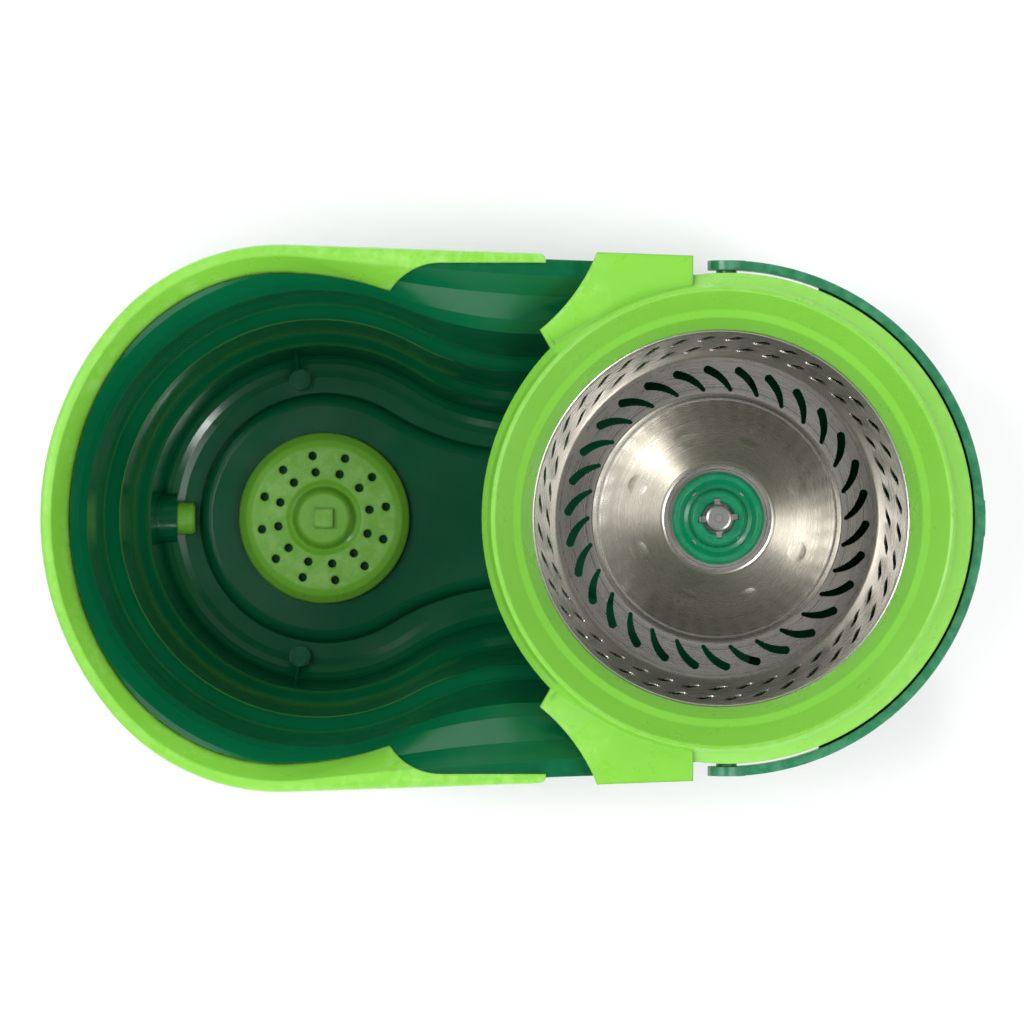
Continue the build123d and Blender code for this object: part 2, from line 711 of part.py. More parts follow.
def make_handle():
    """Half hoop with an eye, a shoulder and a pin at each end and a thumb nub in its middle."""
    low_z = handle_z - handle_h / 2
    high_z = handle_z + handle_h / 2
    handle = ring_z(handle_out_r, handle_in_r, low_z, high_z, end_x) - behind(end_x)
    for side in (1, -1):
        root_y = side * (handle_in_r + past)
        shoulder_y = side * (handle_seat_y + handle_hub_gap)
        tip_y = side * (handle_seat_y - handle_boss_in + handle_pin_short)
        handle += tube_y(handle_eye_r, side * handle_in_r, side * handle_out_r, end_x, handle_z)
        handle += tube_y(handle_hub_r, shoulder_y, root_y, end_x, handle_z)
        handle += tube_y(handle_pin_r, tip_y, root_y, end_x, handle_z)
    nub = ring_z(handle_out_r + handle_nub, handle_in_r, low_z, high_z, end_x)
    nub &= Pos(end_x + handle_out_r, 0, handle_z) * Box(4 * handle_t, handle_nub_w, handle_h)
    return handle + nub


def slot_face():
    """Comma-shaped floor slot: round and wide at its outer end, narrow at its inner end."""
    tail_r = basket_crease_r + 4.5
    head_r = basket_floor_r - 6.2
    turn = radians(slot_sweep)
    tail = Vector(tail_r, 0, 0)
    head = Vector(head_r * cos(turn), head_r * sin(turn), 0)
    along = (head - tail).normalized()
    across = Vector(-along.Y, along.X, 0)
    bow = (tail + head) / 2 - across * slot_bow
    middle_r = (slot_tail_r + slot_head_r) / 2 + 0.2
    edges = [
        ThreePointArc(tail - across * slot_tail_r, bow - across * middle_r, head - across * slot_head_r),
        ThreePointArc(head - across * slot_head_r, head + along * slot_head_r, head + across * slot_head_r),
        ThreePointArc(head + across * slot_head_r, bow + across * middle_r, tail + across * slot_tail_r),
        ThreePointArc(tail + across * slot_tail_r, tail - along * slot_tail_r, tail - across * slot_tail_r),
    ]
    return Face(Wire(edges))


def dimple_profile(hole_r):
    """Half section of one dimple: a shallow cap of sheet that overlaps the rim of its hole."""
    t, r, h = basket_t, dimple_r, dimple_h
    steps = (0.0, 0.3, 0.55, 0.8)
    top = [(r * k, h * (1 - k * k)) for k in steps]
    under = [(hole_r * k, h * (1 - k * k) - t) for k in steps]
    return top + [(r, 0.0), (r, -0.7 * t), (hole_r, -0.7 * t)] + under[::-1]


def make_basket_floor():
    t = basket_t
    flat_z, seat_z = basket_floor_z, basket_seat_z
    crease = basket_crease_r
    top = [
        (hub_hole_r + 4.0, seat_z),
        (hub_seat_r, seat_z),
        (hub_seat_r + 1.0, seat_z - 0.3),
        (hub_seat_r + 2.0, seat_z - 1.0),
        (crease - 2.4, flat_z + 1.3),
        (crease - 1.2, flat_z + 0.7),
        (crease, flat_z + 0.8),
        (crease + 1.0, flat_z + 0.5),
        (crease + 2.0, flat_z),
        (basket_floor_r, flat_z),
    ]
    under = [(r, z - t) for r, z in top]
    floor = spun(top + under[::-1])
    # round dimples pressed up in the cone
    low, high = (crease - 2.4, flat_z + 1.3), (hub_seat_r + 2.0, seat_z - 1.0)
    share = (low[0] - dimple_ring) / (low[0] - high[0])
    cone_z = low[1] + share * (high[1] - low[1])
    lean = degrees(atan2(high[1] - low[1], low[0] - high[0]))
    hole_r = dimple_r - 0.6
    dome = spun(dimple_profile(hole_r))
    for i in range(dimple_count):
        at = Rot(0, 0, 360 * (i + 0.5) / dimple_count) * Pos(dimple_ring, 0, cone_z) * Rot(0, lean, 0)
        floor = floor - at * Cylinder(hole_r, 6 * t) + at * dome
    slot = extrude(slot_face(), 4 * t, both=True)
    floor -= [Rot(0, 0, 360 * i / slot_count) * Pos(0, 0, flat_z) * slot for i in range(slot_count)]
    for x, y in ring_places(4, hub_screw_ring, 45):
        floor -= tube_z(hub_screw_r + screw_gap, seat_z - 5, seat_z + 5, x, y)
    return Pos(spin_x, 0, 0) * floor


def make_basket_wall():
    t = basket_t
    foot_in = basket_floor_r - 1.0
    foot_low_z = basket_floor_z - t - 0.3
    rise = basket_rim_z - basket_floor_z
    top_r = basket_rim_r - 2 * basket_bead_r
    inner = [
        (foot_in, basket_floor_z),
        (basket_floor_r, basket_floor_z),
        (basket_floor_r + crimp_out / 2, basket_floor_z + 1.0),
        (basket_floor_r + crimp_out, basket_floor_z + crimp_h),
        (top_r, basket_rim_z),
    ]
    outer = [
        (top_r + t, basket_rim_z),
        (basket_floor_r + crimp_out + t, basket_floor_z + crimp_h),
        (basket_floor_r + crimp_out / 2 + t, basket_floor_z + 0.6),
        (basket_floor_r + 0.5, foot_low_z),
        (foot_in, foot_low_z),
    ]
    wall_part = spun(inner + outer)
    wall_part -= tube_z(basket_floor_r, basket_floor_z - t, basket_floor_z)
    bead_r = top_r + t / 2
    wall_part += revolve(Plane.XZ * Pos(bead_r, basket_rim_z, 0) * Circle(basket_bead_r), axis=Axis.Z)
    hole = Rot(0, 90, 0) * Rot(0, 0, wall_slot_lean) * SlotOverall(wall_slot_length, wall_slot_width)
    cutters = []
    for row, height in enumerate(wall_slot_rows):
        z = basket_floor_z + height
        r = basket_floor_r + (top_r - basket_floor_r) * height / rise
        cutter = Pos(r - 6, 0, z) * extrude(hole, 12, dir=(1, 0, 0))
        for i in range(wall_slot_count):
            cutters.append(Rot(0, 0, 360 * (i + row / 2) / wall_slot_count) * cutter)
    return Pos(spin_x, 0, 0) * (wall_part - cutters)


def make_hub():
    z = basket_seat_z
    profile = [
        (hub_hole_r, z),
        (hub_r, z),
        (hub_r, z + hub_flange_t - 1.5),
        (hub_r - 1.5, z + hub_flange_t),
        (hub_boss_r + 6.0, z + hub_flange_t),
        (hub_boss_r + 3.2, z + hub_flange_t - 1.8),
        (hub_boss_r + 1.2, z + hub_flange_t - 1.0),
        (hub_boss_r, z + hub_boss_t - 1.2),
        (hub_boss_r - 1.2, z + hub_boss_t),
        (hub_hole_r + 1.0, z + hub_boss_t),
        (hub_hole_r, z + hub_boss_t - 1.0),
    ]
    hub = spun(profile)
    notch = Box(2 * key_r + 0.6, key_width + 2 * key_gap, hub_boss_t)
    notch = Pos(0, 0, z + hub_floor_t + hub_boss_t / 2) * notch
    for turn in key_turns:
        hub -= Rot(0, 0, turn) * notch
    for x, y in ring_places(4, hub_screw_ring, 45):
        hub -= tube_z(hub_screw_r, z - 1, z + hub_floor_t, x, y)
    return Pos(spin_x, 0, 0) * hub


def make_hub_clamp():
    z = basket_seat_z - basket_t
    clamp = ring_z(hub_r - 0.4, hub_hole_r, z - clamp_t, z)
    for x, y in ring_places(4, hub_screw_ring, 45):
        clamp -= tube_z(hub_screw_r + screw_gap, z - clamp_t - 1, z + 1, x, y)
        clamp -= tube_z(screw_head_r + screw_gap, z - clamp_t - 1, z - clamp_t + screw_head_t, x, y)
    return Pos(spin_x, 0, 0) * clamp


def screw(r, head_r, head_t, length):
    """Pan-head screw pointing up, the top of its head at zero, with a cross recess below."""
    body = tube_z(r, 0, length) + tube_z(head_r, -head_t, 0)
    for turn in (0, 90):
        body -= Rot(0, 0, turn) * Pos(0, 0, -head_t) * Box(head_r * 1.1, 0.8, 1.6)
    return body


def make_hub_screws():
    z = basket_seat_z - basket_t - clamp_t + screw_head_t
    length = clamp_t - screw_head_t + basket_t + hub_floor_t - 0.3
    return [
        Pos(spin_x + x, y, z) * screw(hub_screw_r, screw_head_r, screw_head_t, length)
        for x, y in ring_places(4, hub_screw_ring, 45)
    ]


def make_spindle():
    low_z = bearing_lower_z - 4.0
    shoulder_z = bearing_upper_z + bearing_w
    key_z = basket_seat_z + hub_floor_t
    groove_r = shaft_r - groove_depth
    top_z = basket_seat_z + stud_rise
    profile = [
        (0, low_z),
        (shaft_r - 0.6, low_z),
        (shaft_r, low_z + 0.6),
        (shaft_r, bearing_lower_z - clip_t - 0.1),
        (groove_r, bearing_lower_z - clip_t - 0.1),
        (groove_r, bearing_lower_z),
        (shaft_r, bearing_lower_z),
        (shaft_r, shoulder_z),
        (shoulder_r, shoulder_z),
        (shoulder_r, shoulder_z + shoulder_h),
        (hub_hole_r, shoulder_z + shoulder_h),
        (hub_hole_r, key_z),
        (stud_r, key_z),
        (stud_r, top_z - 1.3),
        (stud_r - 0.5, top_z - 0.4),
        (stud_r - 1.5, top_z),
        (0, top_z),
    ]
    spindle = spun(profile)
    key = Pos(0, 0, key_z + key_h / 2) * Box(2 * key_r, key_width, key_h)
    for turn in key_turns:
        spindle += Rot(0, 0, turn) * key
    return Pos(spin_x, 0, 0) * spindle


def bearing_parts(z):
    """Outer ring, inner ring and balls of one bearing whose lower face is at z."""
    mid = z + bearing_w / 2
    groove = Pos(0, 0, mid) * Torus(ball_pitch_r, ball_r + ball_gap)
    outer = ring_z(bearing_r, bearing_r - ring_t, z, z + bearing_w) - groove
    inner = ring_z(shaft_r + ring_t, shaft_r, z, z + bearing_w) - groove
    balls = [Pos(spin_x + x, y, mid) * Sphere(ball_r) for x, y in ring_places(ball_count, ball_pitch_r)]
    return [Pos(spin_x, 0, 0) * outer, Pos(spin_x, 0, 0) * inner, balls]


def make_spacer():
    return ring_z(shaft_r + ring_t - 0.5, shaft_r, bearing_lower_z + bearing_w, bearing_upper_z, spin_x)


def make_clip():
    z = bearing_lower_z - clip_t
    groove_r = shaft_r - groove_depth
    clip = ring_z(shaft_r + 2.6, groove_r, z, z + clip_t, spin_x)
    mouth = Box(2 * shaft_r + 2, groove_r * 1.6, 4 * clip_t)
    return clip - Pos(spin_x + shaft_r, 0, z) * mouth


def make_column():
    base = plateau_z
    top = bearing_upper_z + bearing_w + column_gap
    w = column_wall
    ledge_r = bearing_r - 1.5
    foot_top = base + column_foot_h
    profile = [
        (column_base_r, base),
        (column_base_r, base + column_flange_t),
        (column_foot_r, foot_top),
        (column_top_r + 3.0, bearing_lower_z - 5.0),
        (column_top_r, top - 1.0),
        (column_top_r - 1.0, top),
        (bearing_r, top),
        (bearing_r, bearing_upper_z),
        (ledge_r, bearing_upper_z),
        (ledge_r, bearing_lower_z + bearing_w),
        (bearing_r, bearing_lower_z + bearing_w),
        (bearing_r, bearing_lower_z),
        (column_top_r + 3.0 - w, bearing_lower_z - 6.0),
        (column_foot_r - w, foot_top),
        (column_foot_r - w, base),
    ]
    column = spun(profile)
    for x, y in ring_places(4, column_screw_ring, 45):
        column -= tube_z(column_screw_r + screw_gap, base - 1, foot_top, x, y)
        column -= tube_z(column_head_r + 2 * screw_gap, base + column_flange_t, foot_top + 8, x, y)
    # windows at the foot, so that no water stays inside
    window = Pos(column_foot_r, 0, base + 1.5) * Box(40, 10, 3.0)
    for i in range(4):
        column -= Rot(0, 0, 90 * i) * window
    return Pos(spin_x, 0, 0) * column


def make_column_screws():
    top = plateau_z + column_flange_t
    one = Rot(180, 0, 0) * screw(column_screw_r, column_head_r, column_head_t, column_screw_len - 1.0)
    return [
        Pos(spin_x + x, y, top) * one
        for x, y in ring_places(4, column_screw_ring, 45)
    ]


def make_wash_disc():
    t = disc_t
    b = disc_boss_r
    profile = [
        (0, disc_boss_z),
        (b - 1.5, disc_boss_z),
        (b, disc_boss_z - 1.5),
        (b + 2.0, disc_top_z - 1.2),
        (b + 3.5, disc_top_z - 1.6),
        (b + 5.5, disc_top_z),
        (disc_r - 7.5, disc_top_z),
        (disc_r - 4.0, disc_top_z - 1.2),
        (disc_r - 0.8, disc_z + 2.2),
        (disc_r, disc_z + 1.0),
        (disc_r, disc_z),
        (disc_r - t, disc_z),
        (disc_r - t - 3.0, disc_top_z - 1.2 - t),
        (disc_r - t - 6.0, disc_top_z - t),
        (axle_boss_r, disc_top_z - t),
        (axle_boss_r, disc_z),
        (disc_axle_r + axle_gap, disc_z),
        (disc_axle_r + axle_gap, disc_boss_z - 3.5),
        (0, disc_boss_z - 3.5),
    ]
    disc = spun(profile)
    holes = []
    for r in disc_hole_rings:
        for x, y in ring_places(disc_hole_count, r, disc_hole_turn):
            holes.append(tube_z(disc_hole_r, disc_z, disc_top_z + 5, x, y))
    disc -= holes
    disc += Pos(0, 0, disc_boss_z + peg_height / 2 - 0.5) * Box(peg_width, peg_width, peg_height + 1)
    return Pos(wash_x, 0, 0) * disc


def make_disc_axle():
    return tube_z(disc_axle_r, plateau_z - axle_depth, disc_boss_z - 4.5, wash_x)


def make_disc_washer():
    return ring_z(axle_boss_r - 0.5, disc_axle_r, disc_z - washer_t, disc_z - seat_gap, wash_x)


def make_plug():
    r = drain_bore_r - drain_plug_gap
    face = drain_pad_x - gasket_t - seat_gap
    plug = tube_x(r, face, plug_end_x - plug_chamfer, z=drain_z)
    nose = Cone(r, r - plug_chamfer, plug_chamfer)
    plug += Pos(plug_end_x - plug_chamfer / 2, 0, drain_z) * Rot(0, 90, 0) * nose
    knob = tube_x(plug_knob_r, face - plug_knob_t, face, z=drain_z)
    for y, z in ring_places(plug_grips, plug_knob_r + plug_grip_r / 3):
        knob -= tube_x(plug_grip_r, face - plug_knob_t - past, face - plug_grip_short, y, drain_z + z)
    plug += knob
    plug -= tube_x(r - plug_wall, face + plug_end_t, plug_end_x - plug_end_t, z=drain_z)
    return plug


def make_gasket():
    x1 = drain_pad_x - seat_gap
    outer = tube_x(drain_pad_r - 1.5, x1 - gasket_t, x1, z=drain_z)
    return outer - tube_x(drain_bore_r - drain_plug_gap, x1 - gasket_t - past, x1 + past, z=drain_z)


def make_foot(x, y):
    c = foot_chamfer
    foot = tube_z(foot_r, c, foot_z, x, y)
    foot += Pos(x, y, c / 2) * Cone(foot_r - c, foot_r, c)
    foot -= tube_z(foot_screw_r + screw_gap, -past, foot_z + past, x, y)
    foot -= tube_z(screw_head_r + screw_gap, -past, foot_screw_z, x, y)
    return foot


def make_foot_screws():
    return [
        Pos(x, y, foot_screw_z) * screw(foot_screw_r, screw_head_r, screw_head_t, foot_screw_len)
        for x, y in foot_places()
    ]


def write(name, shape):
    """One STEP file per piece; a list is written as one group of separate solids."""
    if isinstance(shape, (list, tuple)):
        shape = Compound(children=[s for item in shape for s in Compound([item]).solids()])
    else:
        found = shape.solids()
        shape = found[0] if len(found) == 1 else Compound(children=list(found))
    export_step(shape, f"parts/{name}.step")


def main():
    os.makedirs("parts", exist_ok=True)
    write("tub", make_tub())
    write("rim_cap", make_rim_cap())
    write("spinner_collar", make_collar())
    write("carry_handle", make_handle())
    write("basket_wall", make_basket_wall())
    write("basket_floor", make_basket_floor())
    write("basket_hub", make_hub())
    write("hub_clamp", make_hub_clamp())
    write("hub_screws", make_hub_screws())
    write("spindle", make_spindle())
    for place, z in (("upper", bearing_upper_z), ("lower", bearing_lower_z)):
        outer, inner, balls = bearing_parts(z)
        write(f"{place}_bearing_outer_ring", outer)
        write(f"{place}_bearing_inner_ring", inner)
        write(f"{place}_bearing_balls", balls)
    write("bearing_spacer", make_spacer())
    write("spindle_clip", make_clip())
    write("spindle_column", make_column())
    write("column_screws", make_column_screws())
    write("wash_disc", make_wash_disc())
    write("disc_axle", make_disc_axle())
    write("disc_washer", make_disc_washer())
    write("drain_plug", make_plug())
    write("drain_gasket", make_gasket())
    names = ("foot_wash_left", "foot_wash_right", "foot_spin_left", "foot_spin_right")
    for name, (x, y) in zip(names, foot_places()):
        write(name, make_foot(x, y))
    write("foot_screws", make_foot_screws())


main()
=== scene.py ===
import bpy, json
import numpy as np
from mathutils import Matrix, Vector


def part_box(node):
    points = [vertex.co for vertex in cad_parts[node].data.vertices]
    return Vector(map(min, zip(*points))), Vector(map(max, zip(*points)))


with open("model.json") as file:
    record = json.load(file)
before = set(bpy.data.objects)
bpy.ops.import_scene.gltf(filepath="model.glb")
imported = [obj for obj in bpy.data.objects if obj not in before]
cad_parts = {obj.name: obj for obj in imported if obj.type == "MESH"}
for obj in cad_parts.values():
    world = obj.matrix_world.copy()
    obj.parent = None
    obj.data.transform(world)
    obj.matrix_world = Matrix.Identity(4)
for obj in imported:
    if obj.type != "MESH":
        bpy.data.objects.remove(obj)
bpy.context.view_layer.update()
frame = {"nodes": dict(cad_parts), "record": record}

nodes = frame["nodes"]


def middle(node):
    low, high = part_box(node)
    return [(a + b) / 2 for a, b in zip(low, high)]


def top(node):
    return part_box(node)[1].z


spinX = middle("basket_hub")[0]
rimZ = top("tub")


def meshFrom(name, points, faces, smooth=True):
    mesh = bpy.data.meshes.new(name)
    mesh.from_pydata(points.reshape(-1, 3).tolist(), [], faces.tolist())
    mesh.update()
    piece = bpy.data.objects.new(name, mesh)
    bpy.context.scene.collection.objects.link(piece)
    mesh.polygons.foreach_set("use_smooth", np.full(len(mesh.polygons), smooth))
    return piece


def newGroup(name, inputs, outputs):
    group = bpy.data.node_groups.new(name, "ShaderNodeTree")
    for label, kind, default in inputs:
        socket = group.interface.new_socket(name=label, in_out="INPUT", socket_type=kind)
        socket.default_value = default
    for label, kind in outputs:
        group.interface.new_socket(name=label, in_out="OUTPUT", socket_type=kind)
    return group, group.nodes.new("NodeGroupInput"), group.nodes.new("NodeGroupOutput")


def feed(tree, socket, value):
    # a socket takes another node's output as a link, and a number or colour as its own value
    if hasattr(value, "links"):
        tree.links.new(value, socket)
    else:
        socket.default_value = value


def mathNode(tree, operation, a, b, clamp=False):
    node = tree.nodes.new("ShaderNodeMath")
    node.operation = operation
    node.use_clamp = clamp
    for socket, value in zip(node.inputs, (a, b)):
        feed(tree, socket, value)
    return node.outputs["Value"]


def times(tree, a, b, clamp=False):
    return mathNode(tree, "MULTIPLY", a, b, clamp)


def plus(tree, a, b, clamp=False):
    return mathNode(tree, "ADD", a, b, clamp)


def noiseNode(tree, vector, scale, detail, roughness=0.5):
    node = tree.nodes.new("ShaderNodeTexNoise")
    settings = {"Vector": vector, "Scale": scale, "Detail": detail, "Roughness": roughness}
    for label, value in settings.items():
        feed(tree, node.inputs[label], value)
    return node.outputs["Fac"]


def rangeNode(tree, value, fromMin, fromMax, toMin=0.0, toMax=1.0):
    node = tree.nodes.new("ShaderNodeMapRange")
    settings = {"Value": value, "From Min": fromMin, "From Max": fromMax, "To Min": toMin, "To Max": toMax}
    for label, setting in settings.items():
        feed(tree, node.inputs[label], setting)
    return node.outputs["Result"]


# a Mix node's colour sockets share their names with its other kinds, so they go by number
mixSockets = {"a": 6, "b": 7, "result": 2}


def mixColour(tree, factor, a, b):
    node = tree.nodes.new("ShaderNodeMix")
    node.data_type = "RGBA"
    feed(tree, node.inputs["Factor"], factor)
    feed(tree, node.inputs[mixSockets["a"]], a)
    feed(tree, node.inputs[mixSockets["b"]], b)
    return node.outputs[mixSockets["result"]]


# a noise is its scale, detail and roughness; a range is where it starts and ends, then what it gives there
mouldedPattern = {
    "drift": (14.0, 4.0, 0.55), "driftRange": (0.3, 0.7),
    "cornerRange": (0.52, 0.60),
    "patches": (160.0, 5.0, 0.6), "patchRange": (0.42, 0.62),
    "upRange": (0.55, 1.0),
    "specks": (420.0, 6.0, 0.7), "speckRange": (0.50, 0.75),
    "dustColour": (0.55, 0.55, 0.5, 1.0), "dustRoughness": 0.35,
    "smear": (38.0, 5.0, 0.65), "smearRange": (0.35, 0.7, -0.05, 0.07),
    "grainDetail": 2.0, "grainDepth": 0.12,
    "ripple": (46.0, 2.0, 0.4),
}


def makeMouldedGroup():
    # moulded plastic: broad tone drift, fine grain, corners lightened partly as wear and partly as a painted
    # edge highlight, and a little dust on what faces up
    group, into, out = newGroup("mouldedPlastic", [
        ("Colour", "NodeSocketColor", (0.1, 0.4, 0.1, 1)),
        ("Deep Colour", "NodeSocketColor", (0.05, 0.2, 0.05, 1)),
        ("Worn And Highlit Edge Colour", "NodeSocketColor", (0.4, 0.6, 0.4, 1)),
        ("Roughness", "NodeSocketFloat", 0.25),
        ("Wear And Edge Highlight", "NodeSocketFloat", 0.3),
        ("Dust", "NodeSocketFloat", 0.1),
        ("Grain Scale", "NodeSocketFloat", 900.0),
    ], [("Colour", "NodeSocketColor"), ("Roughness", "NodeSocketFloat"), ("Height", "NodeSocketFloat")])
    given = into.outputs
    place = group.nodes.new("ShaderNodeTexCoord").outputs["Object"]
    geometry = group.nodes.new("ShaderNodeNewGeometry")

    def pattern(noise, spread):
        return rangeNode(group, noiseNode(group, place, *mouldedPattern[noise]), *mouldedPattern[spread])

    base = mixColour(group, pattern("drift", "driftRange"), given["Deep Colour"], given["Colour"])
    # painted edge highlight: sharp outer edges are lightened in patches, partly as worn plastic and partly
    # to stand in for light catching the edges
    corner = rangeNode(group, geometry.outputs["Pointiness"], *mouldedPattern["cornerRange"])
    wearAndEdgeHighlight = times(group, times(group, corner, pattern("patches", "patchRange")), given["Wear And Edge Highlight"], True)
    wornAndHighlitEdge = mixColour(group, wearAndEdgeHighlight, base, given["Worn And Highlit Edge Colour"])
    normal = group.nodes.new("ShaderNodeSeparateXYZ")
    feed(group, normal.inputs[0], geometry.outputs["Normal"])
    facingUp = rangeNode(group, normal.outputs["Z"], *mouldedPattern["upRange"])
    dust = times(group, times(group, facingUp, pattern("specks", "speckRange")), given["Dust"], True)
    feed(group, out.inputs["Colour"], mixColour(group, dust, wornAndHighlitEdge, mouldedPattern["dustColour"]))
    smeared = plus(group, given["Roughness"], pattern("smear", "smearRange"))
    dusty = times(group, dust, mouldedPattern["dustRoughness"])
    feed(group, out.inputs["Roughness"], plus(group, smeared, dusty, True))
    grain = noiseNode(group, place, given["Grain Scale"], mouldedPattern["grainDetail"])
    ripple = noiseNode(group, place, *mouldedPattern["ripple"])
    feed(group, out.inputs["Height"], plus(group, times(group, grain, mouldedPattern["grainDepth"]), ripple))
    return group


metalPattern = {
    "ringDetail": 3.0, "ringTone": (0.3, 0.7, 0.0, 0.25), "ringRoughness": (0.3, 0.7, -0.05, 0.08),
    "blots": (45.0, 6.0, 0.65), "blotRange": (0.48, 0.78), "stainRoughness": 0.2,
}


def makeMetalGroup():
    # spun or turned metal: fine rings about an upright axis, smears and faint stains
    group, into, out = newGroup("spunMetal", [
        ("Colour", "NodeSocketColor", (0.6, 0.6, 0.6, 1)),
        ("Stain Colour", "NodeSocketColor", (0.35, 0.3, 0.24, 1)),
        ("Roughness", "NodeSocketFloat", 0.3),
        ("Stain", "NodeSocketFloat", 0.4),
        ("Ring Scale", "NodeSocketFloat", 1400.0),
        ("Axis", "NodeSocketVector", (0, 0, 0)),
    ], [("Colour", "NodeSocketColor"), ("Roughness", "NodeSocketFloat"), ("Height", "NodeSocketFloat")])
    given = into.outputs
    place = group.nodes.new("ShaderNodeTexCoord").outputs["Object"]
    away = group.nodes.new("ShaderNodeVectorMath")
    away.operation = "SUBTRACT"
    feed(group, away.inputs[0], place)
    feed(group, away.inputs[1], given["Axis"])
    offset = group.nodes.new("ShaderNodeSeparateXYZ")
    feed(group, offset.inputs[0], away.outputs[0])
    x, y, z = offset.outputs
    # the rings are noise that changes only with the distance from the axis and with height
    radius = mathNode(group, "POWER", plus(group, times(group, x, x), times(group, y, y)), 0.5)
    line = group.nodes.new("ShaderNodeCombineXYZ")
    feed(group, line.inputs["X"], radius)
    feed(group, line.inputs["Y"], z)
    rings = noiseNode(group, line.outputs[0], given["Ring Scale"], metalPattern["ringDetail"])
    blots = rangeNode(group, noiseNode(group, place, *metalPattern["blots"]), *metalPattern["blotRange"])
    stain = times(group, blots, given["Stain"], True)
    tone = mixColour(group, stain, given["Colour"], given["Stain Colour"])
    ringTone = rangeNode(group, rings, *metalPattern["ringTone"])
    feed(group, out.inputs["Colour"], mixColour(group, ringTone, tone, given["Stain Colour"]))
    rough = plus(group, given["Roughness"], rangeNode(group, rings, *metalPattern["ringRoughness"]))
    stained = times(group, stain, metalPattern["stainRoughness"])
    feed(group, out.inputs["Roughness"], plus(group, rough, stained, True))
    feed(group, out.inputs["Height"], rings)
    return group


mouldedGroup = makeMouldedGroup()
metalGroup = makeMetalGroup()
print("shader groups built")


def startMaterial(name, group, look, values):
    material = bpy.data.materials.new(name)
    material.use_nodes = True
    tree = material.node_tree
    shader = tree.nodes["Principled BSDF"]
    effect = tree.nodes.new("ShaderNodeGroup")
    effect.node_tree = group
    for label, value in values.items():
        effect.inputs[label].default_value = value
    bump = tree.nodes.new("ShaderNodeBump")
    bump.inputs["Strength"].default_value = look["bump"]
    bump.inputs["Distance"].default_value = look["bumpDepth"]
    feed(tree, shader.inputs["Base Color"], effect.outputs["Colour"])
    feed(tree, shader.inputs["Roughness"], effect.outputs["Roughness"])
    feed(tree, bump.inputs["Height"], effect.outputs["Height"])
    feed(tree, shader.inputs["Normal"], bump.outputs["Normal"])
    return material, shader, bump


def softenEdges(tree, bump, look):
    # moulded corners are never sharp: the normal turns smoothly within this distance of an edge
    bevel = tree.nodes.new("ShaderNodeBevel")
    bevel.samples = look["edgeSamples"]
    bevel.inputs["Radius"].default_value = look["edgeRadius"]
    feed(tree, bump.inputs["Normal"], bevel.outputs["Normal"])


def opaque(colour):
    return (*colour, 1)


def plastic(name, look):
    material, shader, bump = startMaterial(name, mouldedGroup, look, {
        "Colour": opaque(look["colour"]), "Deep Colour": opaque(look["deep"]),
        "Worn And Highlit Edge Colour": opaque(look["wornAndHighlitEdge"]), "Roughness": look["roughness"], "Wear And Edge Highlight": look["wearAndEdgeHighlight"],
        "Dust": look["dust"], "Grain Scale": look["grain"]})
    shader.inputs["IOR"].default_value = look["ior"]
    shader.inputs["Coat Weight"].default_value = look["coat"]
    shader.inputs["Coat Roughness"].default_value = look["coatRoughness"]
    softenEdges(material.node_tree, bump, look)
    return material


def metal(name, look):
    material, shader, _ = startMaterial(name, metalGroup, look, {
        "Colour": opaque(look["colour"]), "Stain Colour": opaque(look["stainColour"]),
        "Roughness": look["roughness"], "Stain": look["stain"], "Ring Scale": look["rings"],
        "Axis": look["axis"]})
    shader.inputs["Metallic"].default_value = 1.0
    return material


# each look's worn colour is lighter than its plastic: partly edge wear, partly a painted edge highlight
plasticLook = {"roughness": 0.2, "wearAndEdgeHighlight": 0.3, "dust": 0.01, "grain": 900.0, "ior": 1.5, "coat": 0.25,
               "coatRoughness": 0.12, "bump": 0.05, "bumpDepth": 0.001, "edgeRadius": 0.0008,
               "edgeSamples": 4}
tubLook = {**plasticLook, "colour": (0.0018, 0.108, 0.040), "deep": (0.001, 0.082, 0.030),
           "wornAndHighlitEdge": (0.05, 0.28, 0.16), "roughness": 0.17, "dust": 0.004}
limeLook = {**plasticLook, "colour": (0.192, 0.515, 0.046), "deep": (0.174, 0.475, 0.039),
            "wornAndHighlitEdge": (0.45, 0.75, 0.25), "roughness": 0.3, "edgeRadius": 0.0022}
handleLook = {**plasticLook, "colour": (0.012, 0.17, 0.075), "deep": (0.008, 0.14, 0.06),
              "wornAndHighlitEdge": (0.12, 0.36, 0.22), "roughness": 0.3}
hubLook = {**plasticLook, "colour": (0.002, 0.22, 0.095), "deep": (0.001, 0.18, 0.08),
           "wornAndHighlitEdge": (0.10, 0.42, 0.26), "roughness": 0.28}
washerLook = {**plasticLook, "colour": (0.72, 0.72, 0.68), "deep": (0.66, 0.66, 0.62),
              "wornAndHighlitEdge": (0.8, 0.8, 0.78), "roughness": 0.5}
rubberLook = {**plasticLook, "colour": (0.022, 0.022, 0.022), "deep": (0.015, 0.015, 0.015),
              "wornAndHighlitEdge": (0.09, 0.09, 0.085), "roughness": 0.7, "coat": 0.0, "dust": 0.25}
steelLook = {"colour": (0.58, 0.56, 0.515), "stainColour": (0.30, 0.27, 0.23), "roughness": 0.26,
             "stain": 0.25, "rings": 900.0, "axis": (spinX, 0, 0), "bump": 0.08, "bumpDepth": 0.0004}
turnedLook = {**steelLook, "colour": (0.50, 0.50, 0.49), "roughness": 0.3, "rings": 1600.0}
polishedLook = {**steelLook, "colour": (0.70, 0.70, 0.72), "roughness": 0.12, "stain": 0.1}

turnedSteel = metal("turnedSteel", turnedLook)

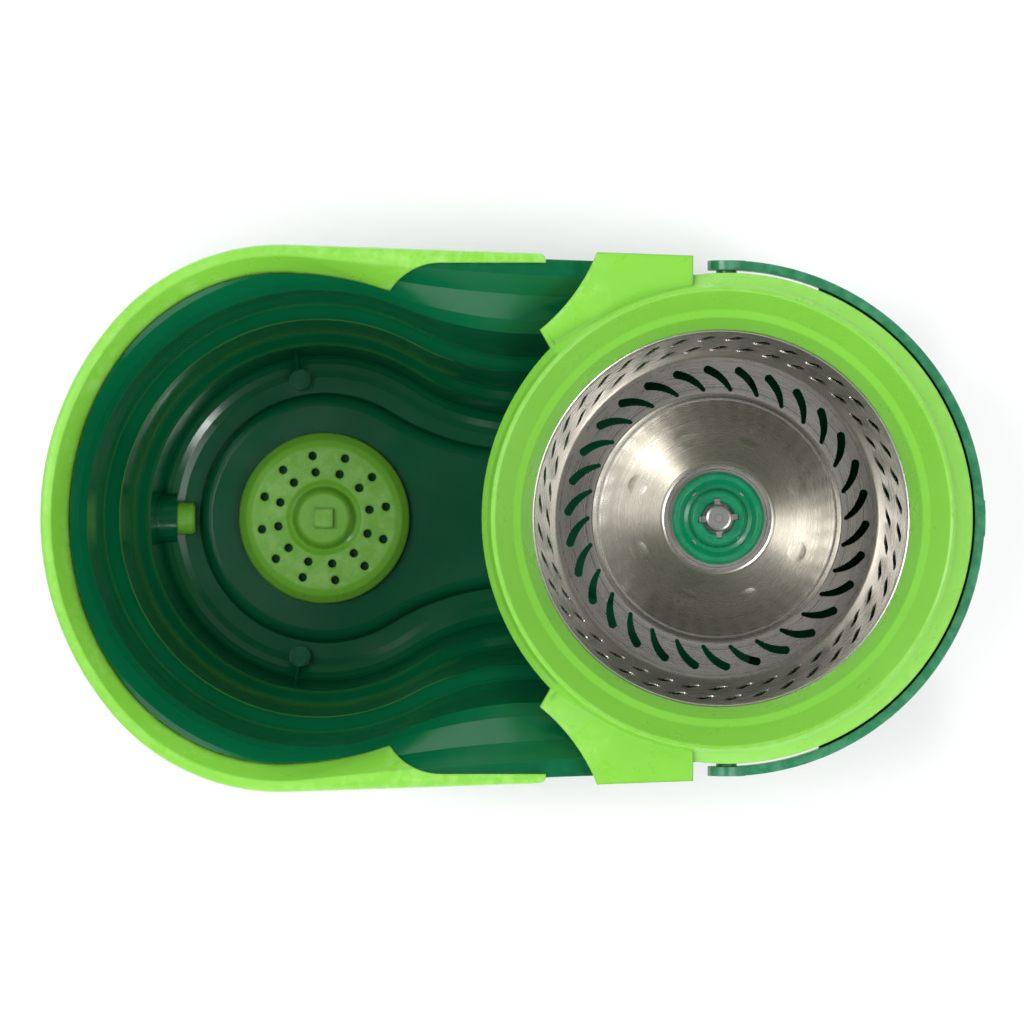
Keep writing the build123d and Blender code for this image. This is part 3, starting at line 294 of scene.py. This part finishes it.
# the finish of each material slot that the design names
finishes = {
    "tub_plastic": plastic("tubGreen", tubLook),
    "lime_plastic": plastic("lime", limeLook),
    "handle_plastic": plastic("handleGreen", handleLook),
    "hub_plastic": plastic("hubGreen", hubLook),
    "washer_plastic": plastic("washerWhite", washerLook),
    "foot_rubber": plastic("footRubber", rubberLook),
    "basket_steel": metal("basketSteel", steelLook),
    "bearing_steel": metal("polishedSteel", polishedLook),
    "spindle_steel": turnedSteel,
    "screw_steel": turnedSteel,
}


def paintNodes():
    slots = {s["node"]: s["material_slot"] for s in frame["record"]["subparts"]}
    for name, piece in nodes.items():
        finish = finishes[slots[name]]
        if not piece.material_slots:
            piece.data.materials.append(finish)
        for slot in piece.material_slots:
            slot.material = finish


paintNodes()
print("materials placed")


floorLook = {"size": 6.0, "colour": (0.97, 0.97, 0.97), "roughness": 0.9}


def makeFloor():
    half = floorLook["size"] / 2
    points = np.array([[-half, -half, 0], [half, -half, 0], [half, half, 0], [-half, half, 0]])
    floor = meshFrom("floor", points, np.array([[0, 1, 2, 3]]), False)
    material = bpy.data.materials.new("floorPaint")
    material.use_nodes = True
    shader = material.node_tree.nodes["Principled BSDF"]
    shader.inputs["Base Color"].default_value = opaque(floorLook["colour"])
    shader.inputs["Roughness"].default_value = floorLook["roughness"]
    floor.data.materials.append(material)


lampLook = {
    # place, size along and across, power, and whether it shows in reflections; all aim at the bucket
    "spinnerSoftbox": {"place": (1.20, -0.26, 2.05), "size": (0.75, 1.5), "power": 10.0},
    "washSoftbox": {"place": (-1.20, 0.26, 2.05), "size": (0.75, 1.5), "power": 22.0},
    "bowlSoftbox": {"place": (-0.35, 0.0, 2.60), "size": (0.5, 0.5), "power": 14.0, "mirrored": False},
    "streakSoftbox": {"place": (1.10, -0.92, 2.05), "size": (0.40, 0.9), "power": 15.0},
    "frontStrip": {"place": (-0.3, -2.0, 0.9), "size": (0.3, 2.2), "power": 20.0, "mirrored": False},
    "backStrip": {"place": (-0.3, 2.0, 0.9), "size": (0.3, 2.2), "power": 20.0, "mirrored": False},
}
lampAim = Vector((0.0, 0.0, 0.15))


def makeLamps():
    for name, look in lampLook.items():
        data = bpy.data.lights.new(name, "AREA")
        data.shape = "RECTANGLE"
        data.size, data.size_y = look["size"]
        data.energy = look["power"]
        lamp = bpy.data.objects.new(name, data)
        lamp.location = look["place"]
        lamp.visible_glossy = look.get("mirrored", True)
        lamp.rotation_euler = (lampAim - lamp.location).to_track_quat("-Z", "Y").to_euler()
        bpy.context.scene.collection.objects.link(lamp)


# brightness of the tent, and the heights of the direction at which it starts and stops falling
tentLook = {"colour": (1.0, 1.0, 1.0), "lowLight": 0.95, "topLight": 0.04, "lowHeight": 0.30,
            "topHeight": 0.92}


def makeWorld():
    # a light tent: bright low down all round, dark straight above where the camera hangs
    world = bpy.data.worlds.new("studio")
    world.use_nodes = True
    tree = world.node_tree
    background = tree.nodes["Background"]
    direction = tree.nodes.new("ShaderNodeSeparateXYZ")
    feed(tree, direction.inputs[0], tree.nodes.new("ShaderNodeTexCoord").outputs["Generated"])
    strength = rangeNode(tree, direction.outputs["Z"], tentLook["lowHeight"], tentLook["topHeight"],
                         tentLook["lowLight"], tentLook["topLight"])
    feed(tree, background.inputs["Strength"], strength)
    background.inputs["Color"].default_value = opaque(tentLook["colour"])
    bpy.context.scene.world = world
    bpy.context.scene.view_settings.view_transform = "Standard"


# metres, and the camera's own millimetres for its sensor
cameraLook = {"distance": 4.0, "frameWidth": 0.512, "aimX": 0.0, "aimY": 0.00315, "sensorWidth": 36.0,
              "farthest": 50.0}


def makeCamera():
    # straight above the rim, with a lens as long as makes the frame as wide as frameWidth there
    data = bpy.data.cameras.new("camera")
    data.sensor_width = cameraLook["sensorWidth"]
    data.lens = cameraLook["sensorWidth"] * cameraLook["distance"] / cameraLook["frameWidth"]
    data.clip_end = cameraLook["farthest"]
    camera = bpy.data.objects.new("camera", data)
    camera.location = (cameraLook["aimX"], cameraLook["aimY"], rimZ + cameraLook["distance"])
    bpy.context.scene.collection.objects.link(camera)
    bpy.context.scene.camera = camera


makeFloor()
makeLamps()
makeWorld()
makeCamera()
print("stage, light and camera placed")
